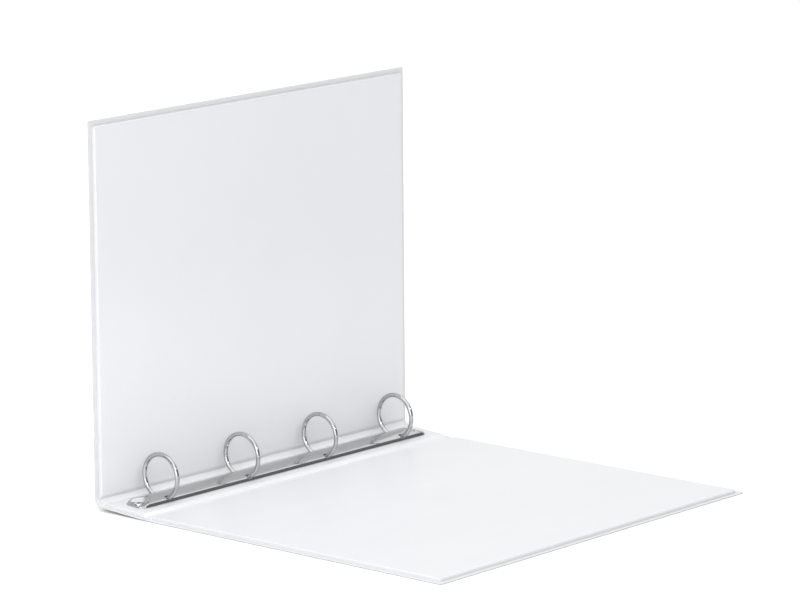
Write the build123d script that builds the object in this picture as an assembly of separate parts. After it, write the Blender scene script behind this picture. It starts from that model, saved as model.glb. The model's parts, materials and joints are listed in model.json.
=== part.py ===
from build123d import *
from math import asin, atan2, cos, degrees, hypot, radians, sin, sqrt
import os

os.makedirs("parts", exist_ok=True)

# A four-ring binder for A4 sheets, open at a right angle: the back cover lies flat, the spine
# rests on the heads of its two rivets beside it, and the front cover stands upright.
# X runs across the spine towards the back cover's free edge, Y runs along the spine, Z is up.
# The origin is at the bottom centre of the whole object. All sizes are in millimetres.

# ---------------------------------------------------------------- driving dimensions
height = 317.0             # covers and spine, along Y
cover_width = 258.5        # hinge crease to free edge
spine_width = 38.4         # hinge crease to hinge crease
hinge_width = 6.0          # flat width of the bare film between two creases
outer_film = 0.35
inner_film = 0.30
board = 2.05
flange = 4.0               # width of the two films welded together round each panel
weld = 2.4                 # from a hinge crease to the nearest board
strip_trim = 0.5           # keeps the flat strip clear of the panels that it joins
corner_radius = 1.2
board_corner = 1.0
panel_edge_radius = 0.5    # where the inner film turns over a board's edge
strip_lift = 0.05          # holds the flat strip just above the panels' outer plane
strip_setback = 1.0        # of the strip's ends from the panels' ends

ring_spacing = 80.0        # between neighbouring rings, the four-hole pattern
ring_count = 4
ring_radius = 15.4         # of the wire's centre line
wire = 3.0
ring_centre = 18.7         # height of the ring's centre above the spine's outer face
ring_foot_angle = 66.0     # below horizontal, where the wire meets its hinge plate
tip_gap = 0.10             # between the two tips of a closed ring
nib_length = 0.8           # cone on one tip that enters a dimple in the other
nib_radius = 0.8
dimple_clearance = 0.12

housing_half_width = 9.2
housing_crown = 6.9        # heights above the spine's outer face
housing_shoulder = 5.2
housing_foot = 2.95
housing_sheet = 0.6
lip_reach = 1.7            # inward, under the edge of a hinge plate
housing_end = 25.5         # from the end of the spine to the arched part
arch_slope = 5.0           # length of the pressed slope from the tab up to the arch
lip_sheet = 0.4
shoulder_radius = 0.5      # where a side turns into the arch
tab_half_width = 8.6
tab_corner = 5.0
tab_reach = 5.7            # from the rivet's axis to the end of the tab
tab_sheet = 0.7
tab_wall = 1.0             # width of the tab's edge left solid under the slope
nearly_flat = 0.06         # rise of the arc in a section that is almost flat
slot_width = 3.7           # along Y, where a half ring passes through the housing
slot_inner = 5.0           # from the centre line to the slot's inner end
slot_floor = 3.75
overlap = 0.4              # how far two pieces of one part run into each other
cutter = 30.0              # larger than anything that it trims
tolerance = 0.01           # within which two places count as the same

plate_sheet = 0.9
plate_reach = 7.9          # from the plate's pivot to its inner edge
plate_pivot = 8.0          # from the centre line to the pivot
plate_pivot_height = 4.35
plate_closed_angle = 6.5   # the inner edges hang this far below the pivots
plate_end_gap = 1.5        # from the arched part's end to a plate's end
tenon_radius = 1.0
tenon_position = 6.75      # from the centre line
tenon_head_radius = 1.35
tenon_head = 0.28

rivet_spacing = 282.0
rivet_head_radius = 3.25
rivet_head_height = 1.4
rivet_shank = 1.75
rivet_bore = 1.25
rivet_roll_radius = 2.9    # of the rolled rim on the inside
rivet_roll_height = 0.8
rivet_roll_edge = 0.5      # rounding of the rim

# ---------------------------------------------------------------- worked out from them
half_height = height / 2
panel_thickness = outer_film + board + inner_film
inner_face = panel_thickness
pivot_rise = hinge_width * (1 / sqrt(2) - 1 / 2)   # keeps the film's length at 180 and at 90 degrees
spine_centre_x = -(hinge_width + spine_width) / 2  # from the back hinge's axis
front_axis_x = -(hinge_width + spine_width)
ring_ys = [ring_spacing * (i - (ring_count - 1) / 2) for i in range(ring_count)]
rivet_ys = [-rivet_spacing / 2, rivet_spacing / 2]

# The spine leans on the rivets' heads. A head is a cap of a sphere, so its centre then
# lies one radius above the floor, which gives the lean.
head_sphere = (rivet_head_radius**2 + rivet_head_height**2) / (2 * rivet_head_height)
sphere_height = head_sphere - rivet_head_height
lean_reach = hypot(spine_centre_x, sphere_height - pivot_rise)
spine_lean = degrees(asin((head_sphere - pivot_rise) / lean_reach)
                     - atan2(sphere_height - pivot_rise, -spine_centre_x))

front_axis = Vector(front_axis_x * cos(radians(spine_lean)), 0,
                    pivot_rise - front_axis_x * sin(radians(spine_lean)))
low_x = front_axis.X - pivot_rise
high_x = hinge_width / 2 + cover_width
shift = -(low_x + high_x) / 2


def about_y(x, z, angle):
    """Turns by angle degrees about an axis along Y through x, z."""
    return Pos(x, 0, z) * Rot(0, angle, 0) * Pos(-x, 0, -z)


def at(place, x, z):
    """Where a point of a placed piece's own X and Z plane comes to lie."""
    return (place * Pos(x, 0, z)).position


place_back = Pos(shift, 0, 0)
place_spine = place_back * about_y(0, pivot_rise, spine_lean)
place_front = (place_back * Pos(front_axis.X, 0, front_axis.Z) * Rot(0, 90, 0)
               * Pos(0, 0, -pivot_rise))
place_rings = place_spine * Pos(spine_centre_x, 0, 0)


# ---------------------------------------------------------------- covers and spine
def slab(x0, x1, half_length, z0, z1, radius, corners):
    """A flat plate with rounded vertical corners on its high-X side, or on both sides."""
    plate = Pos((x0 + x1) / 2, 0, (z0 + z1) / 2) * Box(x1 - x0, 2 * half_length, z1 - z0)
    edges = plate.edges().filter_by(Axis.Z)
    if corners == "free":
        edges = edges.group_by(Axis.X)[-1]
    return fillet(edges, radius) if corners != "none" else plate


def panel(x0, x1, free_edge):
    """Board and its two films, flat, outer face down. Films meet in a flange all round."""
    board_x0 = x0 + weld
    board_x1 = x1 - (flange if free_edge else weld)
    board_half = half_height - flange
    board_top = outer_film + board
    core = slab(board_x0, board_x1, board_half, outer_film, board_top, board_corner, "all")
    corners = "free" if free_edge else "none"
    outside = slab(x0, x1, half_height, 0, outer_film, corner_radius, corners)
    flat = slab(x0, x1, half_height, outer_film, outer_film + inner_film, corner_radius, corners)
    raised = slab(board_x0 - inner_film, board_x1 + inner_film, board_half + inner_film,
                  outer_film, panel_thickness, board_corner + inner_film, "all")
    raised = fillet(raised.faces().sort_by(Axis.Z)[-1].edges(), panel_edge_radius)
    inside = flat + raised - core
    return core, outside, inside


def hinge_strip(start, end):
    """The bare film between two creases, as a thin strip along Y from start to end."""
    run = end - start
    thickness = outer_film + inner_film
    length = run.length - 2 * strip_trim
    middle = (start + end) / 2
    turn = degrees(atan2(-run.Z, run.X))
    strip = Box(length, height - 2 * strip_setback, thickness)
    return Pos(middle.X, 0, middle.Z) * Rot(0, turn, 0) * Pos(0, 0, thickness / 2) * strip


# ---------------------------------------------------------------- ring mechanism
def arch_face(half_width, foot, shoulder, crown, y):
    """Cross-section of the arch at y: two upright sides under a shallow arc."""
    with BuildSketch(Plane.XZ.offset(-y)) as section:
        with BuildLine():
            Line((-half_width, foot), (half_width, foot))
            Line((half_width, foot), (half_width, shoulder))
            ThreePointArc((half_width, shoulder), (0, crown), (-half_width, shoulder))
            Line((-half_width, shoulder), (-half_width, foot))
        make_face()
    return section.sketch


def housing_end_piece(sign):
    """One end: the rounded tab that the rivet goes through, and the slope up to the arch."""
    arch_y = half_height - housing_end
    slope_y = arch_y + arch_slope
    rivet_y = rivet_spacing / 2
    tab_top = inner_face + tab_sheet
    tab_length = rivet_y + tab_reach - slope_y + overlap
    tab = Box(2 * tab_half_width, tab_length, tab_sheet)
    tab = fillet(tab.edges().filter_by(Axis.Z).group_by(Axis.Y)[-1], tab_corner)
    tab = Pos(0, slope_y - overlap + tab_length / 2, inner_face + tab_sheet / 2) * tab
    outside = loft([arch_face(tab_half_width, inner_face, tab_top - nearly_flat, tab_top, slope_y),
                    arch_face(housing_half_width, inner_face, housing_shoulder,
                              housing_crown, arch_y)], ruled=True)
    inner_half = housing_half_width - housing_sheet
    below = inner_face - cutter
    inside = loft([arch_face(tab_half_width - tab_wall, below, inner_face - nearly_flat,
                             inner_face, slope_y - overlap / 2),
                   arch_face(inner_half, below, housing_shoulder - housing_sheet,
                             housing_crown - housing_sheet, arch_y)], ruled=True)
    end = outside - inside + tab
    end -= Pos(0, rivet_y, inner_face) * Cylinder(rivet_shank, cutter)
    return end if sign > 0 else mirror(end, Plane.XZ)


def ring_housing():
    """The arched channel: a springy sheet with lips that hold the hinge plates' edges."""
    arch_y = half_height - housing_end
    inner_half = housing_half_width - housing_sheet
    outside = extrude(arch_face(housing_half_width, housing_foot, housing_shoulder,
                                housing_crown, -arch_y), -2 * arch_y)
    inside = extrude(arch_face(inner_half, housing_foot - cutter, housing_shoulder - housing_sheet,
                               housing_crown - housing_sheet, -arch_y), -2 * arch_y)
    body = outside - inside
    lip_width = lip_reach + housing_sheet / 2
    for side in (-1, 1):
        lip_x = side * (inner_half - lip_reach + lip_width / 2)
        body += Pos(lip_x, 0, housing_foot + lip_sheet / 2) * Box(lip_width, 2 * arch_y, lip_sheet)
        body += housing_end_piece(side)
    shoulders = body.edges().filter_by(Axis.Y).filter_by(
        lambda e: abs(abs(e.center().X) - housing_half_width) < tolerance
        and abs(e.center().Z - housing_shoulder) < tolerance)
    body = fillet(shoulders, shoulder_radius)
    slot = Box(cutter, slot_width, cutter)
    for y in ring_ys:
        for side in (-1, 1):
            body -= Pos(side * (slot_inner + cutter / 2), y, slot_floor + cutter / 2) * slot
    return body


def on_plate(side):
    """Frame at a plate's pivot: X along the closed plate to its inner edge, Z up from it."""
    pivot = Pos(side * plate_pivot, 0, plate_pivot_height)
    if side > 0:
        return pivot * Rot(0, -plate_closed_angle, 0) * Rot(0, 0, 180)
    return pivot * Rot(0, plate_closed_angle, 0)


def tenon_along():
    """Distance of a tenon from the pivot, along the plate."""
    return (plate_pivot - tenon_position) / cos(radians(plate_closed_angle))


def hinge_plate(side):
    """A flat blade. Its round outer edge turns in the housing's lip."""
    length = 2 * (half_height - housing_end - plate_end_gap)
    blade = Pos(plate_reach / 2, 0, 0) * Box(plate_reach, length, plate_sheet)
    edge = Rot(90, 0, 0) * Cylinder(plate_sheet / 2, length)
    plate = blade + edge
    for y in ring_ys:
        plate -= Pos(tenon_along(), y, 0) * Cylinder(tenon_radius, cutter)
    return on_plate(side) * plate


def half_ring(side, y):
    """Half a ring: wire from the tip at the top to its foot, with a tenon staked in the plate."""
    profile = Plane.YZ * Pos(0, ring_radius) * Circle(wire / 2)
    arc = revolve(profile, Axis.Y, 90 + ring_foot_angle)
    if side < 0:
        arc = mirror(arc, Plane.YZ)
    arc = Pos(0, 0, ring_centre) * arc
    tip_height = ring_centre + ring_radius
    arc -= Pos(-side * (wire - tip_gap / 2), 0, tip_height) * Box(2 * wire, 2 * wire, 2 * wire)
    on_this_plate = on_plate(side)
    arc -= on_this_plate * Pos(0, 0, (plate_sheet - cutter) / 2) * Box(cutter, cutter, cutter)
    along_x = Pos(0, 0, tip_height) * Rot(0, 90, 0)
    from_base = (Align.CENTER, Align.CENTER, Align.MIN)
    if side < 0:
        nib = Cone(nib_radius, nib_radius / 2, nib_length, align=from_base)
        arc += along_x * Pos(0, 0, -tip_gap / 2) * nib
    else:
        dimple_radius = nib_radius + dimple_clearance
        dimple = Cone(dimple_radius, dimple_radius / 2, nib_length + dimple_clearance,
                      align=from_base)
        arc -= along_x * dimple
    tenon = Cylinder(tenon_radius, plate_sheet + tenon_head)
    tenon = Pos(tenon_along(), 0, -tenon_head / 2) * tenon
    head = Cylinder(tenon_head_radius, tenon_head)
    head = Pos(tenon_along(), 0, -(plate_sheet + tenon_head) / 2) * head
    arc += on_this_plate * (tenon + head)
    return Pos(0, y, 0) * arc


def rivet(y):
    """Tubular rivet: round head outside the spine, rolled rim on the housing's tab."""
    ball = Pos(0, 0, sphere_height) * Sphere(head_sphere)
    head = ball & Pos(0, 0, -rivet_head_height / 2) * Box(cutter, cutter, rivet_head_height)
    rim_centre = inner_face + tab_sheet + rivet_roll_height / 2
    shank = Pos(0, 0, rim_centre / 2) * Cylinder(rivet_shank, rim_centre)
    rim = Pos(0, 0, rim_centre) * Cylinder(rivet_roll_radius, rivet_roll_height)
    rim = fillet(rim.edges().sort_by(Axis.Z)[-1], rivet_roll_edge)
    bore = Pos(0, 0, rim_centre) * Cylinder(rivet_bore, 2 * rivet_roll_height)
    return Pos(0, y, 0) * (head + shank + rim - bore)


# ---------------------------------------------------------------- build every node
nodes = {}

back_x = hinge_width / 2
core, outside, inside = panel(back_x, back_x + cover_width, True)
nodes["back_board"] = place_back * core
nodes["back_outer_film"] = place_back * outside
nodes["back_inner_film"] = place_back * inside

turn_over = Rot(0, 0, 180)
core, outside, inside = panel(back_x, back_x + cover_width, True)
nodes["front_board"] = place_front * turn_over * core
nodes["front_outer_film"] = place_front * turn_over * outside
nodes["front_inner_film"] = place_front * turn_over * inside

core, outside, inside = panel(-back_x - spine_width, -back_x, False)
for y in rivet_ys:
    hole = Pos(spine_centre_x, y, 0) * Cylinder(rivet_shank, cutter)
    core -= hole
    outside -= hole
    inside -= hole
nodes["spine_board"] = place_spine * core
nodes["spine_outer_film"] = place_spine * outside
nodes["spine_inner_film"] = place_spine * inside

nodes["back_hinge_film"] = hinge_strip(at(place_spine, -back_x, strip_lift),
                                       at(place_back, back_x, strip_lift))
nodes["front_hinge_film"] = hinge_strip(at(place_front, -back_x, strip_lift),
                                        at(place_spine, -back_x - spine_width, strip_lift))

nodes["ring_housing"] = place_rings * ring_housing()
nodes["spine_rivets"] = Compound([place_rings * rivet(y) for y in rivet_ys])
for name, side in (("front", -1), ("back", 1)):
    nodes["hinge_plate_" + name] = place_rings * hinge_plate(side)
    for i, y in enumerate(ring_ys):
        nodes[f"ring_{i + 1}_{name}_half"] = place_rings * half_ring(side, y)

for name, shape in nodes.items():
    export_step(shape, f"parts/{name}.step")

print("spine leans", round(spine_lean, 3), "degrees")
print("back hinge axis at", round(shift, 3), round(pivot_rise, 3))
print("front hinge axis at", round(front_axis.X + shift, 3), round(front_axis.Z, 3))
for name, side in (("front", -1), ("back", 1)):
    axis = at(place_rings, side * plate_pivot, plate_pivot_height)
    print(name, "ring axis at", round(axis.X, 3), round(axis.Z, 3))
centre = at(place_rings, 0, ring_centre)
print("ring centre at", round(centre.X, 3), round(centre.Z, 3))
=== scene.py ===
import json
import math

import bmesh
import bpy
import numpy as np
from mathutils import Matrix, Vector


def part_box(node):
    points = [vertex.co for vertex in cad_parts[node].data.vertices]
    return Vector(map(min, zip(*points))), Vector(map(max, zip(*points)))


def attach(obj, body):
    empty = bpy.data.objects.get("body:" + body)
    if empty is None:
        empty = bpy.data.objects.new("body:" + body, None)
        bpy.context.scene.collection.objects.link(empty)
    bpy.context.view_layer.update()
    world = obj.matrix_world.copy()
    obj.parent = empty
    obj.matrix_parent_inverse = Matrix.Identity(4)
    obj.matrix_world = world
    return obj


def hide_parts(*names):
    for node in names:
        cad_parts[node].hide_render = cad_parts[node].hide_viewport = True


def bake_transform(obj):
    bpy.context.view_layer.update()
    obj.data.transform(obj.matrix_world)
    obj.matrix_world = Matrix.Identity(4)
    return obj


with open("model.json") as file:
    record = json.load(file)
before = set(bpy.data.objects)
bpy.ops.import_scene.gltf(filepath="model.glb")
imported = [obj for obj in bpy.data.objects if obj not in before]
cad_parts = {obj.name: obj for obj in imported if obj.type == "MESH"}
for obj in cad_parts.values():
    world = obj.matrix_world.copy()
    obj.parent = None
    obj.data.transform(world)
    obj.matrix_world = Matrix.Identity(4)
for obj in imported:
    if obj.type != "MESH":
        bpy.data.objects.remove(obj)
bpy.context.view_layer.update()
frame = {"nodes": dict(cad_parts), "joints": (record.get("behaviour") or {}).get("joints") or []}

# A white film-covered ring binder, open at a right angle: back cover on the floor, spine beside it,
# front cover upright, four bright nickel rings on an arched channel. Metres, in the CAD's frame.

MM = 0.001

# ---------------------------------------------------------------- places taken from the frame
joints = {j["name"]: j for j in frame["joints"]}
back_axis = Vector(joints["back_hinge"]["pos_m"])
front_axis = Vector(joints["front_hinge"]["pos_m"])
back_low, back_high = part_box("back_outer_film")
front_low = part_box("front_outer_film")[0]
raised_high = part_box("back_inner_film")[1]
board_low, board_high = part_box("back_board")
head_low, head_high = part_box("spine_rivets")

HALF_HEIGHT = back_high.y
COVER_WIDTH = back_high.x - back_low.x
OUTER_FILM = back_high.z - back_low.z
PANEL = raised_high.z
INNER_FILM = PANEL - board_high.z
FLANGE = back_high.x - board_high.x - INNER_FILM      # outline to the foot of the raised panel
WELD = board_low.x - back_low.x - INNER_FILM          # hinge crease to the same foot
HINGE_HALF = back_low.x - back_axis.x
PIVOT_RISE = back_axis.z
SPINE_WIDTH = (front_axis - back_axis).length - 2 * HINGE_HALF
RIVET_HEAD = 3.25 * MM       # radius
RIVET_Y = (head_high.y - head_low.y) / 2 - RIVET_HEAD

FILMS = OUTER_FILM + INNER_FILM
CORNER = 1.2 * MM            # radius of a cover's free corners
RAISED_CORNER = 1.3 * MM     # radius of the raised panel's corners
STEP_RUN = 0.8 * MM          # how far the film takes to climb over the board's edge
STEP_POWER = 2.6             # how square the climb is
RIM = 0.4 * MM               # rounding of a cut edge
RAMP_SHARE = 0.9             # how much of its climb the film has done at a board's hinge edge
RAMP_KNEE = 0.2              # and how softly the climb ends
SHARP_ANGLE = math.radians(50)

# How close the grid lines are.
WELD_STEP = 0.22 * MM        # in the weld
FIRST_GAP = 0.3 * MM         # behind the step, and then growing
GAP_GROWTH = 1.45
GAP_LIMIT = 8 * MM
OPEN_STEP = 9 * MM           # on the open film
EDGE_ROOM = 0.4              # share of the panel that the lines of one edge may take

# Small reliefs of the films.
INNER_RIM = 0.18 * MM        # how far the inner film falls away at a cut edge
OUTER_RIM = 0.13 * MM
UNEVEN = 0.08 * MM           # the inner film's unevenness
UNEVEN_START = 2 * MM        # where it begins behind the step
UNEVEN_RUN = 25 * MM         # and how far it takes to grow
OUTER_UNEVEN_RUN = 20 * MM
PRINT_RISE = 0.03 * MM       # the last weld line's faint print on the outside
PRINT_WIDTH = 0.35 * MM
DIMPLE_DEPTH = 0.07 * MM     # pulled into the outer film by a rivet
DIMPLE_REACH = 5.5 * MM

# Fine lines that the welding bar leaves in the flange: distance from the outline, width, height.
WELD_LINES = ((0.8 * MM, 0.22 * MM, 0.06 * MM), (1.5 * MM, 0.22 * MM, -0.06 * MM),
              (2.2 * MM, 0.25 * MM, 0.06 * MM), (3.1 * MM, 0.30 * MM, -0.16 * MM))


class Panel:
    """A panel's own axes: across from its hinge crease, along Y, and up from its outer face."""

    def __init__(self, body, crease, across, up, width, free):
        self.body = body
        self.crease = crease
        self.across = across
        self.up = up
        self.width = width
        self.free = free

    def world(self, u, v, w):
        """Row-frame points of arrays of positions in the panel."""
        along = np.array((0.0, 1.0, 0.0))
        return (np.array(self.crease) + u[..., None] * np.array(self.across)
                + v[..., None] * along + w[..., None] * np.array(self.up))


spine_across = (front_axis - back_axis).normalized()
spine_up = Vector((spine_across.z, 0, -spine_across.x))
spine_crease = back_axis + spine_across * HINGE_HALF - spine_up * PIVOT_RISE

back = Panel("back_cover", Vector((back_low.x, 0, 0)), Vector((1, 0, 0)), Vector((0, 0, 1)),
             COVER_WIDTH, True)
spine = Panel("spine", spine_crease, spine_across, spine_up, SPINE_WIDTH, False)
front = Panel("front_cover", Vector((front_low.x, 0, front_low.z)), Vector((0, 0, 1)),
              Vector((1, 0, 0)), COVER_WIDTH, True)


# ---------------------------------------------------------------- materials
def new_material(name):
    """A material with its node tree, shader and object coordinates."""
    material = bpy.data.materials.new(name)
    material.use_nodes = True
    tree = material.node_tree
    shader = tree.nodes["Principled BSDF"]
    coords = tree.nodes.new("ShaderNodeTexCoord")
    return material, tree, shader, coords.outputs["Object"]


def noise(tree, coords, scale, detail, stretch=(1, 1, 1)):
    """A noise texture's value, stretched along the axes."""
    mapping = tree.nodes.new("ShaderNodeMapping")
    mapping.inputs["Scale"].default_value = stretch
    tree.links.new(coords, mapping.inputs["Vector"])
    texture = tree.nodes.new("ShaderNodeTexNoise")
    texture.inputs["Scale"].default_value = scale
    texture.inputs["Detail"].default_value = detail
    tree.links.new(mapping.outputs["Vector"], texture.inputs["Vector"])
    return texture.outputs["Fac"]


def spread(tree, value, low, high):
    """A noise, spread over low to high."""
    ranged = tree.nodes.new("ShaderNodeMapRange")
    ranged.inputs["To Min"].default_value = low
    ranged.inputs["To Max"].default_value = high
    tree.links.new(value, ranged.inputs["Value"])
    return ranged.outputs["Result"]


def tint(tree, value, dark, light):
    """A colour between dark and light."""
    ramp = tree.nodes.new("ShaderNodeValToRGB")
    ramp.color_ramp.elements[0].position = 0.1
    ramp.color_ramp.elements[0].color = (*dark, 1)
    ramp.color_ramp.elements[1].position = 0.9
    ramp.color_ramp.elements[1].color = (*light, 1)
    tree.links.new(value, ramp.inputs["Fac"])
    return ramp.outputs["Color"]


def bump(tree, value, depth, under=None):
    """A bump node's normal, for a relief of depth metres."""
    node = tree.nodes.new("ShaderNodeBump")
    node.inputs["Strength"].default_value = 1.0
    node.inputs["Distance"].default_value = depth
    tree.links.new(value, node.inputs["Height"])
    if under is not None:
        tree.links.new(under, node.inputs["Normal"])
    return node.outputs["Normal"]


def film_material(name, dark, light, gloss, grain, relief):
    """Satin white plastic film: fine grain, faint clouding, slightly uneven gloss."""
    material, tree, shader, coords = new_material(name)
    cloud = noise(tree, coords, scale=14, detail=4)
    fine = noise(tree, coords, scale=grain, detail=3)
    smear = noise(tree, coords, scale=45, detail=3, stretch=(1, 0.3, 1))
    tree.links.new(tint(tree, cloud, dark, light), shader.inputs["Base Color"])
    tree.links.new(spread(tree, smear, gloss * 0.7, gloss * 1.3), shader.inputs["Roughness"])
    ripple = bump(tree, noise(tree, coords, scale=60, detail=2), relief * 2)
    tree.links.new(bump(tree, fine, relief, ripple), shader.inputs["Normal"])
    shader.inputs["IOR"].default_value = 1.49
    return material


def plated_material(name, dark, light, gloss, brush, relief, rim=1.0):
    """Bright nickel plate: fine drawing lines along brush, faint stains, uneven polish. rim is how much of
    the reflection is left where the surface turns away; below 1 it darkens the rims as painted shade, in
    place of the room's dark reflections."""
    material, tree, shader, coords = new_material(name)
    stain = noise(tree, coords, scale=120, detail=4)
    lines = noise(tree, coords, scale=900, detail=4, stretch=brush)
    polish = noise(tree, coords, scale=400, detail=3, stretch=brush)
    tree.links.new(tint(tree, stain, dark, light), shader.inputs["Base Color"])
    tree.links.new(spread(tree, polish, gloss * 0.7, gloss * 1.5), shader.inputs["Roughness"])
    pits = bump(tree, noise(tree, coords, scale=1500, detail=2), relief)
    tree.links.new(bump(tree, lines, relief, pits), shader.inputs["Normal"])
    shader.inputs["Metallic"].default_value = 1.0
    shader.inputs["Specular Tint"].default_value = (rim, rim, rim, 1)
    return material


def board_material():
    """Raw greyboard: pressed fibres and flecks."""
    material, tree, shader, coords = new_material("greyboard")
    fibre = noise(tree, coords, scale=700, detail=6, stretch=(1, 0.25, 1))
    tree.links.new(tint(tree, fibre, (0.36, 0.34, 0.30), (0.52, 0.49, 0.44)),
                   shader.inputs["Base Color"])
    tree.links.new(bump(tree, fibre, 0.06 * MM), shader.inputs["Normal"])
    shader.inputs["Roughness"].default_value = 0.9
    return material


def floor_material():
    """Matt white paper sweep."""
    material, tree, shader, coords = new_material("paper_sweep")
    fibre = noise(tree, coords, scale=300, detail=3)
    tree.links.new(tint(tree, fibre, (0.94, 0.94, 0.94), (0.95, 0.95, 0.95)),
                   shader.inputs["Base Color"])
    shader.inputs["Roughness"].default_value = 0.9
    shader.inputs["Specular IOR Level"].default_value = 0.1
    return material


outer_skin = film_material("outer_film_skin", (0.755, 0.76, 0.775), (0.77, 0.775, 0.79),
                           0.20, 2600, 0.0012 * MM)
inner_skin = film_material("inner_film_skin", (0.755, 0.76, 0.775), (0.77, 0.775, 0.79),
                           0.19, 2200, 0.0008 * MM)
weld_skin = film_material("welded_film_skin", (0.69, 0.695, 0.71), (0.71, 0.715, 0.73),
                          0.22, 3200, 0.0015 * MM)
# The hinge strips' film is a touch lighter than the panels' same film: painted light for the extra
# brightness their slope catches.
hinge_film_painted_light = film_material("hinge_film_skin_painted_light", (0.765, 0.77, 0.785), (0.79, 0.795, 0.81),
                            0.18, 2600, 0.001 * MM)
# The films' cut edges are painted dark grey: painted shade for the dark contact line along each sheet's
# edge, not the white film's own colour.
cut_edge_painted_shade = film_material("cut_film_edge_painted_shade", (0.42, 0.425, 0.43), (0.47, 0.475, 0.48),
                         0.45, 4000, 0.004 * MM)
# The wire's nickel has a darker base than the rivets' same plate, and a rim of 0.1: painted shade for the
# dark reflections along its sides and rims.
wire_plate_painted_dark = plated_material("nickel_wire_painted_dark", (0.48, 0.48, 0.485), (0.56, 0.56, 0.565),
                               0.06, (1, 1, 1), 0.0003 * MM, 0.1)
# The channel's nickel has a darker base than the rivets' same plate: painted shade for the dark
# reflections on its walls and crown.
channel_plate_painted_dark = plated_material("nickel_channel_painted_dark", (0.48, 0.475, 0.48), (0.54, 0.535, 0.54),
                                0.10, (4, 0.15, 4), 0.0006 * MM)
plate_rivet = plated_material("nickel_rivet", (0.74, 0.74, 0.745), (0.82, 0.82, 0.825),
                              0.06, (1, 1, 1), 0.0003 * MM)
plate_blade = plated_material("zinc_blade", (0.50, 0.51, 0.53), (0.60, 0.61, 0.63),
                              0.28, (1, 0.2, 1), 0.002 * MM)


# ---------------------------------------------------------------- film-covered panels
def box_distance(u, v, centre, half_u, half_v, radius):
    """Distance inside a rounded rectangle, negative outside it."""
    over_u = np.abs(u - centre) - (half_u - radius)
    over_v = np.abs(v) - (half_v - radius)
    corner = np.hypot(np.maximum(over_u, 0), np.maximum(over_v, 0))
    return radius - corner - np.minimum(np.maximum(over_u, over_v), 0)


def edge_lines(foot, room):
    """Distances from an edge where the grid has a line, up to room: close at weld and step."""
    flat = np.linspace(0, foot, max(3, round(foot / WELD_STEP)))
    climb = foot + STEP_RUN * np.linspace(0, 1, 9)[1:]**2
    lines = list(flat) + list(climb)
    gap = FIRST_GAP
    while gap < GAP_LIMIT and lines[-1] + gap < room:
        lines.append(lines[-1] + gap)
        gap *= GAP_GROWTH
    return np.array(lines)


def grid_lines(low, high, low_foot, high_foot):
    """Grid positions from low to high, close together near both edges."""
    room = EDGE_ROOM * (high - low)
    first = low + edge_lines(low_foot, room)
    last = high - edge_lines(high_foot, room)[::-1]
    count = max(2, round((last[0] - first[-1]) / OPEN_STEP))
    middle = np.linspace(first[-1], last[0], count + 1)[1:-1]
    return np.concatenate((first, middle, last))


def round_corner(u, v, width, half):
    """Moves the grid near a free corner so that the outline has an arc there."""
    a = np.clip((u - (width - CORNER)) / CORNER, 0, 1)
    b = np.clip((np.abs(v) - (half - CORNER)) / CORNER, 0, 1)
    both = (a > 0) & (b > 0)
    new_u = width - CORNER + CORNER * a * np.sqrt(1 - b**2 / 2)
    new_v = np.sign(v) * (half - CORNER + CORNER * b * np.sqrt(1 - a**2 / 2))
    return np.where(both, new_u, u), np.where(both, new_v, v)


def slow_wave(u, v, phase):
    """A film's gentle unevenness over a board, between -1 and 1."""
    return (np.sin(u / (21 * MM) + v / (47 * MM) + phase)
            + np.sin(v / (29 * MM) - u / (63 * MM) + 2.1 * phase)
            + np.sin(u / (13 * MM) - v / (37 * MM) + 0.7 * phase)) / 3


def weld_relief(edge):
    """Height of the pressed lines at a distance from the outline."""
    relief = np.zeros_like(edge)
    for centre, width, rise in WELD_LINES:
        relief += rise * np.exp(-((edge - centre) / width)**2)
    return relief


def rim_drop(edge):
    """How far a cut edge falls away at its rim, as a share of 1."""
    return np.clip(1 - edge / RIM, 0, 1)**2


def panel_distances(panel, u, v):
    """Distances inside the outline and inside the raised part's free edges."""
    if panel.free:
        edge = box_distance(u, v, 0, panel.width, HALF_HEIGHT, CORNER)
        raised_reach = panel.width - FLANGE
    else:
        edge = HALF_HEIGHT - np.abs(v)
        raised_reach = 2 * panel.width
    inside = box_distance(u, v, 0, raised_reach, HALF_HEIGHT - FLANGE, RAISED_CORNER)
    return edge, inside


def hinge_ramp(panel, u):
    """The film's gentle climb from a hinge crease to the board, as a share of 1."""
    from_crease = u if panel.free else np.minimum(u, panel.width - u)
    straight = np.minimum(RAMP_SHARE * from_crease / (WELD + INNER_FILM), 1 + RAMP_KNEE)
    bend = np.maximum(straight - (1 - RAMP_KNEE), 0)
    return straight - bend**2 / (4 * RAMP_KNEE)


def inner_height(edge, inside, ramp, wave):
    """Inner film: flange, climb over the board's edge, and the slightly uneven panel."""
    share = np.clip(inside / STEP_RUN, 0, 1)
    climb = np.minimum((1 - (1 - share)**STEP_POWER)**(1 / STEP_POWER), ramp)
    settled = np.clip((inside - UNEVEN_START) / UNEVEN_RUN, 0, 1) * ramp
    flat = FILMS + weld_relief(edge) * (inside < 0) - INNER_RIM * rim_drop(edge)
    return flat + (PANEL - FILMS) * climb - UNEVEN * settled * (1 + wave) / 2


def outer_height(edge, inside, wave, depth):
    """Outer film's outside: a soft rim, a faint print of the weld, and slight unevenness."""
    settled = np.clip(inside / OUTER_UNEVEN_RUN, 0, 1)
    print_line = PRINT_RISE * np.exp(-((edge - WELD_LINES[-1][0]) / PRINT_WIDTH)**2)
    return OUTER_RIM * rim_drop(edge) + print_line + depth * settled * (1 + wave) / 2


def rivet_dimple(u, v):
    """Depth of the dimples that the two rivets pull into the spine's outer film."""
    dimple = np.zeros_like(u)
    for y in (-RIVET_Y, RIVET_Y):
        away = np.hypot(u - SPINE_WIDTH / 2, v - y)
        dimple += DIMPLE_DEPTH * np.exp(-(away / DIMPLE_REACH)**2)
    return dimple


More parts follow.
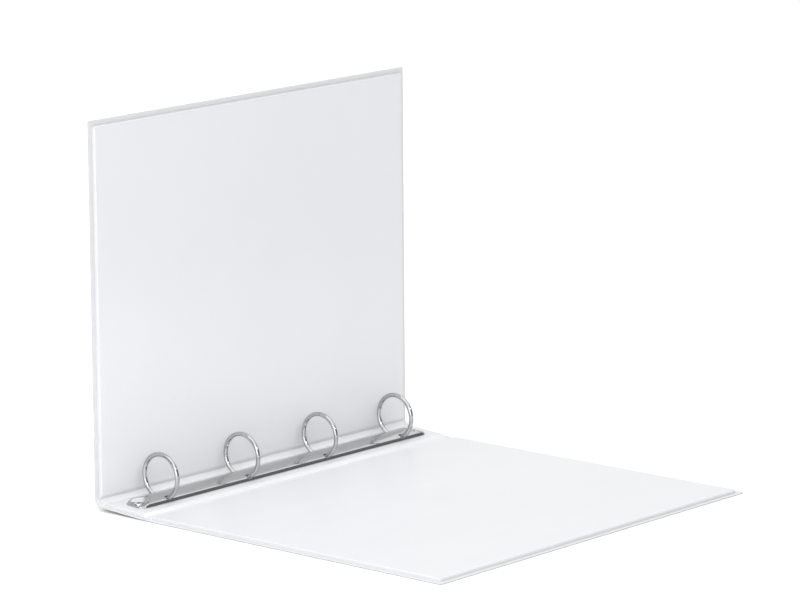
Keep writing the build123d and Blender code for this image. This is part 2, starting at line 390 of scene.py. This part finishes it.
def closed_sheet(name, top, bottom, mark, materials, keep=None):
    """A closed mesh between two grids of points, with holes where keep is false. mark is each top
    point's material index, and the last material is the cut edge's."""
    rows, columns = top.shape[:2]
    count = rows * columns
    points = np.concatenate((top.reshape(-1, 3), bottom.reshape(-1, 3)))
    index = np.arange(count).reshape(rows, columns)
    quads = np.stack((index[:-1, :-1], index[1:, :-1], index[1:, 1:], index[:-1, 1:]), -1)
    quads = quads.reshape(-1, 4)
    if keep is not None:
        quads = quads[keep.reshape(-1)]
    tail, tip = quads.reshape(-1), np.roll(quads, -1, axis=1).reshape(-1)
    open_edge = ~np.isin(tail * count + tip, tip * count + tail)
    tail, tip = tail[open_edge], tip[open_edge]
    sides = np.stack((tail, tail + count, tip + count, tip), -1)
    faces = np.concatenate((quads, quads[:, ::-1] + count, sides))
    mesh = bpy.data.meshes.new(name)
    mesh.from_pydata(points.tolist(), [], faces.tolist())
    for material in materials:
        mesh.materials.append(material)
    face_mark = np.full(len(faces), len(materials) - 1, np.int32)
    face_mark[:2 * len(quads)] = np.tile(mark.reshape(-1)[quads].max(axis=1), 2)
    mesh.polygons.foreach_set("material_index", face_mark)
    mesh.polygons.foreach_set("use_smooth", np.ones(len(faces), bool))
    work = bmesh.new()
    work.from_mesh(mesh)
    loose = [corner for corner in work.verts if not corner.link_faces]
    bmesh.ops.delete(work, geom=loose, context="VERTS")
    bmesh.ops.recalc_face_normals(work, faces=work.faces)
    work.to_mesh(mesh)
    work.free()
    mesh.set_sharp_from_angle(angle=SHARP_ANGLE)
    mesh.update()
    piece = bpy.data.objects.new(name, mesh)
    bpy.context.scene.collection.objects.link(piece)
    return piece


def panel_grid(panel):
    """Grid positions across and along a panel, with rounded free corners."""
    high_foot = FLANGE if panel.free else WELD
    across = grid_lines(0, panel.width, WELD, high_foot)
    along = grid_lines(-HALF_HEIGHT, HALF_HEIGHT, FLANGE, FLANGE)
    u, v = np.meshgrid(across, along, indexing="ij")
    return round_corner(u, v, panel.width, HALF_HEIGHT) if panel.free else (u, v)


def film_pieces(panel, label, phase, outside_depth):
    """The two films of one panel, in place of their plain solids."""
    u, v = panel_grid(panel)
    edge, inside = panel_distances(panel, u, v)
    ramp = hinge_ramp(panel, u)
    wave = slow_wave(u, v, phase)
    top = inner_height(edge, inside, ramp, wave)
    under = inner_height(edge, inside - INNER_FILM, ramp, wave) - INNER_FILM
    under = np.maximum(np.minimum(under, top - INNER_FILM / 3), OUTER_FILM)
    welded = (inside < 0).astype(np.int32)
    inner = closed_sheet(label + "_inner_skin", panel.world(u, v, top),
                         panel.world(u, v, under), welded, (inner_skin, weld_skin, cut_edge_painted_shade))
    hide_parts(label + "_inner_film")
    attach(inner, panel.body)

    low = outer_height(edge, inside, slow_wave(u, v, phase + 1.3), outside_depth)
    if panel is spine:
        low = low + rivet_dimple(u, v)
    high = np.full_like(u, OUTER_FILM)
    outer = closed_sheet(label + "_outer_skin", panel.world(u, v, high),
                         panel.world(u, v, low), np.zeros_like(welded), (outer_skin, cut_edge_painted_shade))
    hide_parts(label + "_outer_film")
    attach(outer, panel.body)


film_pieces(back, "back", 0.4, 0.04 * MM)
film_pieces(spine, "spine", 1.9, 0.02 * MM)
film_pieces(front, "front", 3.1, 0.07 * MM)


# ---------------------------------------------------------------- bare film at the hinges
CREASE_BEND = 0.7 * MM       # how far from a crease its bend begins
TUCK = 1.0 * MM              # how far the strip reaches into the panels' weld
SKIN_GAP = 0.01 * MM
PRESS_DEPTH = 0.06 * MM      # how much thinner the strip is at a crease
PRESS_WIDTH = 0.4 * MM
TUCK_THIN = 0.12 * MM        # and where it is tucked in
STRIP_RIM = 0.10 * MM        # how far it falls away at a cut edge
RIPPLE = 0.06 * MM           # slow ripple along its middle
RIPPLE_LENGTH = 9 * MM
RIPPLE_DRIFT = 31 * MM


def strip_line(start, start_way, end, end_way):
    """Middle line of a hinge strip: out of one panel, over its crease, and into the other."""
    run = (end - start).normalized()
    points = [start - start_way * TUCK]
    for corner, way_in, way_out in ((start, start_way, run), (end, run, end_way)):
        for step in np.linspace(0, 1, 7):
            arriving = corner - way_in * CREASE_BEND * (1 - step)
            leaving = corner + way_out * CREASE_BEND * step
            points.append(arriving.lerp(leaving, step))
        if corner is start:
            first = start + run * CREASE_BEND
            last = end - run * CREASE_BEND
            for step in np.linspace(0, 1, 12)[1:-1]:
                points.append(first.lerp(last, step))
    points.append(end + end_way * TUCK)
    return np.array([tuple(p) for p in points])


def hinge_strip(name, node, first, first_edge, second, second_edge):
    """The two welded films between a spine crease and a cover crease."""
    lift = FILMS / 2
    start = first.crease + first.across * first_edge + first.up * lift
    end = second.crease + second.up * lift + second.across * second_edge
    start_way = first.across if first_edge > 0 else -first.across
    line = strip_line(start, start_way, end, second.across)
    tangent = np.gradient(line, axis=0)
    tangent /= np.linalg.norm(tangent, axis=1)[:, None]
    inward = np.cross(tangent, np.array((0.0, 1.0, 0.0)))
    if np.dot(inward[0], np.array(first.up)) < 0:
        inward = -inward
    travel = np.concatenate(((0,), np.cumsum(np.linalg.norm(np.diff(line, axis=0), axis=1))))
    run_start, run_end = TUCK, travel[-1] - TUCK
    along = grid_lines(-HALF_HEIGHT, HALF_HEIGHT, FLANGE, FLANGE)
    s, v = np.meshgrid(travel, along, indexing="ij")
    tucked = np.clip(np.maximum(run_start - s, s - run_end) / TUCK, 0, 1)
    pressed = (np.exp(-((s - run_start) / PRESS_WIDTH)**2)
               + np.exp(-((s - run_end) / PRESS_WIDTH)**2))
    edge = HALF_HEIGHT - np.abs(v)
    half_thick = FILMS / 2 - SKIN_GAP - PRESS_DEPTH * pressed - TUCK_THIN * tucked
    half_thick = half_thick - STRIP_RIM * rim_drop(edge)
    middle_share = np.clip(4 * (s - run_start) * (run_end - s) / (run_end - run_start)**2, 0, 1)
    drift = 0.6 * np.sin(v / RIPPLE_DRIFT)
    ripple = RIPPLE * middle_share * np.sin(v / RIPPLE_LENGTH + drift)
    weld = weld_relief(edge) * (1 - tucked) * (edge < FLANGE)
    drawn_in = v * (1 - tucked * TUCK / (4 * HALF_HEIGHT))
    centre = line[:, None, :] + drawn_in[..., None] * np.array((0.0, 1.0, 0.0))
    inside = centre + inward[:, None, :] * (half_thick + ripple + weld)[..., None]
    outside = centre - inward[:, None, :] * (half_thick - ripple)[..., None]
    welded = np.where(edge < FLANGE, 1, 0).astype(np.int32)
    piece = closed_sheet(name, inside, outside, welded, (hinge_film_painted_light, weld_skin, cut_edge_painted_shade))
    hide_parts(node)
    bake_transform(piece)


hinge_strip("back_hinge_strip", "back_hinge_film", spine, 0.0, back, 0.0)
hinge_strip("front_hinge_strip", "front_hinge_film", spine, SPINE_WIDTH, front, 0.0)


# ---------------------------------------------------------------- arched channel under the rings
ring_ys = [sum(c.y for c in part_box(f"ring_{i}_front_half")) / 2 for i in (1, 2, 3, 4)]
CHANNEL_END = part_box("ring_housing")[1].y
CHANNEL_HALF = 9.25 * MM     # half width at the foot
SHOULDER_HALF = 8.70 * MM    # and at the shoulder, because the sides lean in
FOOT = 2.90 * MM             # heights above the spine's outer face
SHOULDER = 5.05 * MM
CROWN = 6.9 * MM
TAB_HALF = 8.6 * MM
TAB_TOP = 3.4 * MM
TAB_CORNER = 5.0 * MM
SLOT_INNER = 5.0 * MM
SLOT_HALF = 1.85 * MM
SLOT_FLOOR = 3.75 * MM
SEAT = 4.6 * MM              # flat round the rivet
SEAT_SLOPE = 3.4 * MM
CHANNEL_SHEET = 0.62 * MM
LIP_SHORT = 0.5 * MM         # how much shorter than the channel the lips under it are
LIP_ROWS = [0, 1, 2, -3, -2, -1]
LIP_PLACES = np.array((0.2, 1.0, 1.7)) * MM     # inward from the foot
CROWN_END = 0.75 * MM        # the crown's curve stops this far short of the shoulder
BEND = 0.70 * MM             # radius of the shoulder
BEND_LIFT = 0.1 * MM
WALL_END = 0.2 * MM          # the wall stops this far above the foot
TAB_LEAN = 0.1 * MM
TAB_GAP = 0.04 * MM          # between the tab and the film under it
TAB_CROWN = 0.02 * MM
ARCH_START = 1 * MM          # from the channel's end, where the arch begins to rise
ARCH_RUN = 7 * MM
END_RUN = 18 * MM            # the lines are close together this far from an end
END_LINES = 48
END_CROWD = 1.4
CHANNEL_STEP = 5 * MM        # between the lines elsewhere


def smooth(share):
    """A share of 1 with soft ends."""
    share = np.clip(share, 0, 1)
    return share * share * (3 - 2 * share)


def half_section(foot_half, shoulder_half, foot, shoulder, crown):
    """One side of the channel's section, from the crown down to the lip: places, heights, and the
    way to the sheet's inside."""
    inner = np.linspace(0, SLOT_INNER, 13)
    outer = np.linspace(SLOT_INNER, shoulder_half - CROWN_END, 9)[1:]
    top = np.concatenate((inner, outer))
    top_heights = shoulder + (crown - shoulder) * (1 - (top / shoulder_half)**2)
    turn = np.radians((15, 35, 55, 75))
    bend_places = shoulder_half - BEND + BEND * np.sin(turn)
    bend_heights = shoulder - BEND + BEND_LIFT + BEND * np.cos(turn)
    down = np.linspace(0, 1, 5)[1:]
    wall_places = shoulder_half + (foot_half - shoulder_half) * down
    wall_heights = shoulder - BEND + (foot + WALL_END - shoulder + BEND) * down
    lip_places = foot_half - LIP_PLACES
    ways = ([(0, -1)] * len(top) + [(-math.sin(t), -math.cos(t)) for t in turn]
            + [(-1, 0)] * len(down) + [(-0.7, 0.7)] + [(0, 1)] * 2)
    return (np.concatenate((top, bend_places, wall_places, lip_places)),
            np.concatenate((top_heights, bend_heights, wall_heights, np.full(3, foot))),
            np.array(ways))


def whole_section(*sizes):
    """Both sides of the section, from lip to lip: outside points, and inside points."""
    places, heights, ways = half_section(*sizes)
    half = np.stack((places, heights), -1)
    halves = np.stack((half, half + ways * CHANNEL_SHEET), 1)
    mirrored = halves[:0:-1] * np.array((-1, 1))
    return np.concatenate((mirrored, halves))


def channel_lines():
    """Grid positions along the channel: close at its ends and at the slots."""
    stops = {-CHANNEL_END, CHANNEL_END}
    for y in ring_ys:
        stops.update((y - SLOT_HALF, y + SLOT_HALF))
    for side in (-1, 1):
        for away in END_RUN * np.linspace(0, 1, END_LINES)[1:]**END_CROWD:
            stops.add(side * (CHANNEL_END - away))
    stops = sorted(stops)
    lines = [stops[0]]
    for stop in stops[1:]:
        count = max(1, round((stop - lines[-1]) / CHANNEL_STEP))
        lines.extend(np.linspace(lines[-1], stop, count + 1)[1:])
    return np.array(lines)


def ring_channel():
    """The sprung sheet channel: arched between two round seats pressed flat for the rivets."""
    arch = whole_section(CHANNEL_HALF, SHOULDER_HALF, FOOT, SHOULDER, CROWN)[:, None]
    tab = whole_section(TAB_HALF, TAB_HALF - TAB_LEAN, PANEL + TAB_GAP,
                        TAB_TOP - TAB_CROWN, TAB_TOP)[:, None]
    along = channel_lines()
    v = along[None, :] + 0 * arch[..., 0, 0]
    from_end = CHANNEL_END - np.abs(v)
    corner = np.clip(TAB_CORNER - from_end, 0, TAB_CORNER)
    outline = (TAB_HALF - TAB_CORNER + np.sqrt(TAB_CORNER**2 - corner**2)) / TAB_HALF
    to_rivet = np.hypot(arch[..., 0, 0], np.abs(v) - RIVET_Y)
    arched = smooth((to_rivet - SEAT) / SEAT_SLOPE) * smooth((from_end - ARCH_START) / ARCH_RUN)
    v[LIP_ROWS] = np.clip(along, -CHANNEL_END + LIP_SHORT, CHANNEL_END - LIP_SHORT)
    points = tab + arched[..., None, None] * (arch - tab)
    u = points[..., 0] * outline[..., None]
    w = points[..., 1]
    layers = [spine.world(SPINE_WIDTH / 2 - u[..., k], v, w[..., k]) for k in (0, 1)]
    mid_u = np.abs(u[:-1, :-1, 0] + u[1:, :-1, 0]) / 2
    low_w = np.minimum(w[:-1, :-1, 0], w[1:, :-1, 0])
    mid_v = (v[:-1, :-1] + v[:-1, 1:]) / 2
    beside_ring = np.any([np.abs(mid_v - y) < SLOT_HALF for y in ring_ys], axis=0)
    slot = beside_ring & (mid_u > SLOT_INNER) & (low_w > SLOT_FLOOR)
    piece = closed_sheet("ring_channel", *layers, np.zeros(v.shape, np.int32),
                         (channel_plate_painted_dark,), ~slot)
    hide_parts("ring_housing")
    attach(piece, "spine")


ring_channel()

# ---------------------------------------------------------------- finishes of the CAD's own parts
FINISH = {"board": board_material(), "housing_steel": channel_plate_painted_dark, "blade_steel": plate_blade,
          "ring_wire": wire_plate_painted_dark, "rivet": plate_rivet}
for node in frame["nodes"].values():
    for place in node.material_slots:
        finish = FINISH.get(place.material.name.split(".")[0])
        if finish is not None:
            place.material = finish

# ---------------------------------------------------------------- floor, light and camera
floor_mesh = bpy.data.meshes.new("floor")
FLOOR_REACH = 9.0
FLOOR_DROP = 0.05 * MM
floor_mesh.from_pydata([(-FLOOR_REACH, -FLOOR_REACH, 0), (FLOOR_REACH, -FLOOR_REACH, 0),
                        (FLOOR_REACH, FLOOR_REACH, 0), (-FLOOR_REACH, FLOOR_REACH, 0)], [], [(0, 1, 2, 3)])
floor_mesh.materials.append(floor_material())
floor = bpy.data.objects.new("floor", floor_mesh)
floor.location.z = -FLOOR_DROP
bpy.context.scene.collection.objects.link(floor)

world = bpy.data.worlds.new("studio")
bpy.context.scene.world = world
world.use_nodes = True
sky = world.node_tree
direction = sky.nodes.new("ShaderNodeTexCoord").outputs["Generated"]


def glow(towards, start, end, level):
    """Light that grows from nothing to level as a direction turns towards a point of the sky."""
    facing = sky.nodes.new("ShaderNodeVectorMath")
    facing.operation = "DOT_PRODUCT"
    facing.inputs[1].default_value = Vector(towards).normalized()
    sky.links.new(direction, facing.inputs[0])
    ranged = sky.nodes.new("ShaderNodeMapRange")
    ranged.interpolation_type = "SMOOTHSTEP"
    ranged.inputs["From Min"].default_value = start
    ranged.inputs["From Max"].default_value = end
    ranged.inputs["To Min"].default_value = 0
    ranged.inputs["To Max"].default_value = level
    sky.links.new(facing.outputs["Value"], ranged.inputs["Value"])
    return ranged.outputs["Result"]


def added(first, second):
    """The sum of two values."""
    node = sky.nodes.new("ShaderNodeMath")
    node.operation = "ADD"
    for socket, value in zip(node.inputs, (first, second)):
        if isinstance(value, float):
            socket.default_value = value
        else:
            sky.links.new(value, socket)
    return node.outputs["Value"]


ROOM = 0.22                  # the dark of the room between the soft boxes
overhead = glow((0, 0, 1), 0.40, 0.85, 1.40)
beside_camera = glow((0.66, -0.75, 0.10), 0.70, 0.97, 1.10)
backdrop = glow((-0.66, 0.75, 0.10), 0.60, 0.95, 0.55)
sky.nodes["Background"].inputs["Color"].default_value = (1.0, 1.0, 1.005, 1)
sky.links.new(added(added(added(overhead, beside_camera), backdrop), ROOM),
              sky.nodes["Background"].inputs["Strength"])


def softbox(name, place, target, size, power, spread=180):
    """A rectangular area light at place, turned to target, with a beam spread degrees wide."""
    light = bpy.data.lights.new(name, "AREA")
    light.shape = "RECTANGLE"
    light.size, light.size_y = size
    light.energy = power
    light.spread = math.radians(spread)
    lamp = bpy.data.objects.new(name, light)
    lamp.location = place
    lamp.rotation_euler = (Vector(target) - Vector(place)).to_track_quat("-Z", "Y").to_euler()
    bpy.context.scene.collection.objects.link(lamp)


softbox("near_side", (0.25, -0.80, 0.28), (-0.15, -0.10, 0.08), (0.50, 0.50), 1.5)
softbox("corner", (0.50, -0.12, 0.45), (-0.14, -0.03, 0.02), (0.40, 0.06), 0.032, 22)

SENSOR_WIDTH = 36.0
FOCAL_LENGTH = 4570.7 * SENSOR_WIDTH / 800      # millimetres
camera_data = bpy.data.cameras.new("camera")
camera_data.sensor_width = SENSOR_WIDTH
camera_data.lens = FOCAL_LENGTH
camera_data.clip_start = 0.1
camera_data.clip_end = 50
camera = bpy.data.objects.new("camera", camera_data)
azimuth, pitch, roll = (math.radians(a) for a in (-41.283, 11.280, 0.426))
forward = Vector((math.sin(azimuth) * math.cos(pitch), math.cos(azimuth) * math.cos(pitch),
                  -math.sin(pitch)))
right = Vector((math.cos(azimuth), -math.sin(azimuth), 0))
down = forward.cross(right)
right, down = (right * math.cos(roll) + down * math.sin(roll),
               down * math.cos(roll) - right * math.sin(roll))
camera.matrix_world = Matrix((right, -down, -forward)).transposed().to_4x4()
camera.location = (1.97753, -2.27292, 0.74059)
bpy.context.scene.collection.objects.link(camera)
bpy.context.scene.camera = camera
bpy.context.scene.view_settings.view_transform = "Standard"
